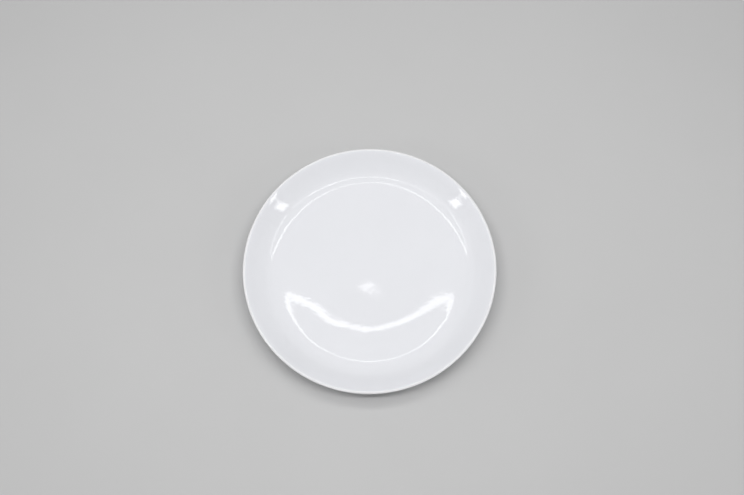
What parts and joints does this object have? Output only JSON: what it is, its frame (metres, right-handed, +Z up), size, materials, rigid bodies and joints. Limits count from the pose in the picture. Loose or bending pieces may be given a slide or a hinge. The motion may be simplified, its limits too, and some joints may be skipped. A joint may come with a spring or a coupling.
{
  "type": "bread plate",
  "caption": "Round coupe bread plate in glazed white porcelain, with a flat well, a coved wall up to a rounded lip, and a foot ring that is bare where it stands.",
  "frame": {"origin": "centre of the plane that the foot ring stands on, under the middle of the well", "axes": "+Z up along the axis that the plate is turned about; +X and +Y lie across it, and any turn about Z leaves the plate the same"},
  "size_m": [0.165, 0.165, 0.019],
  "materials": {
    "bare_porcelain": "fired, unglazed, polished by wear on the standing face",
    "white_glaze": "glossy, cool white"
  },
  "bodies": {
    "root": {"porcelain_body": "bare_porcelain", "face_glaze": "white_glaze", "base_glaze": "white_glaze"}
  },
  "joints": []
}
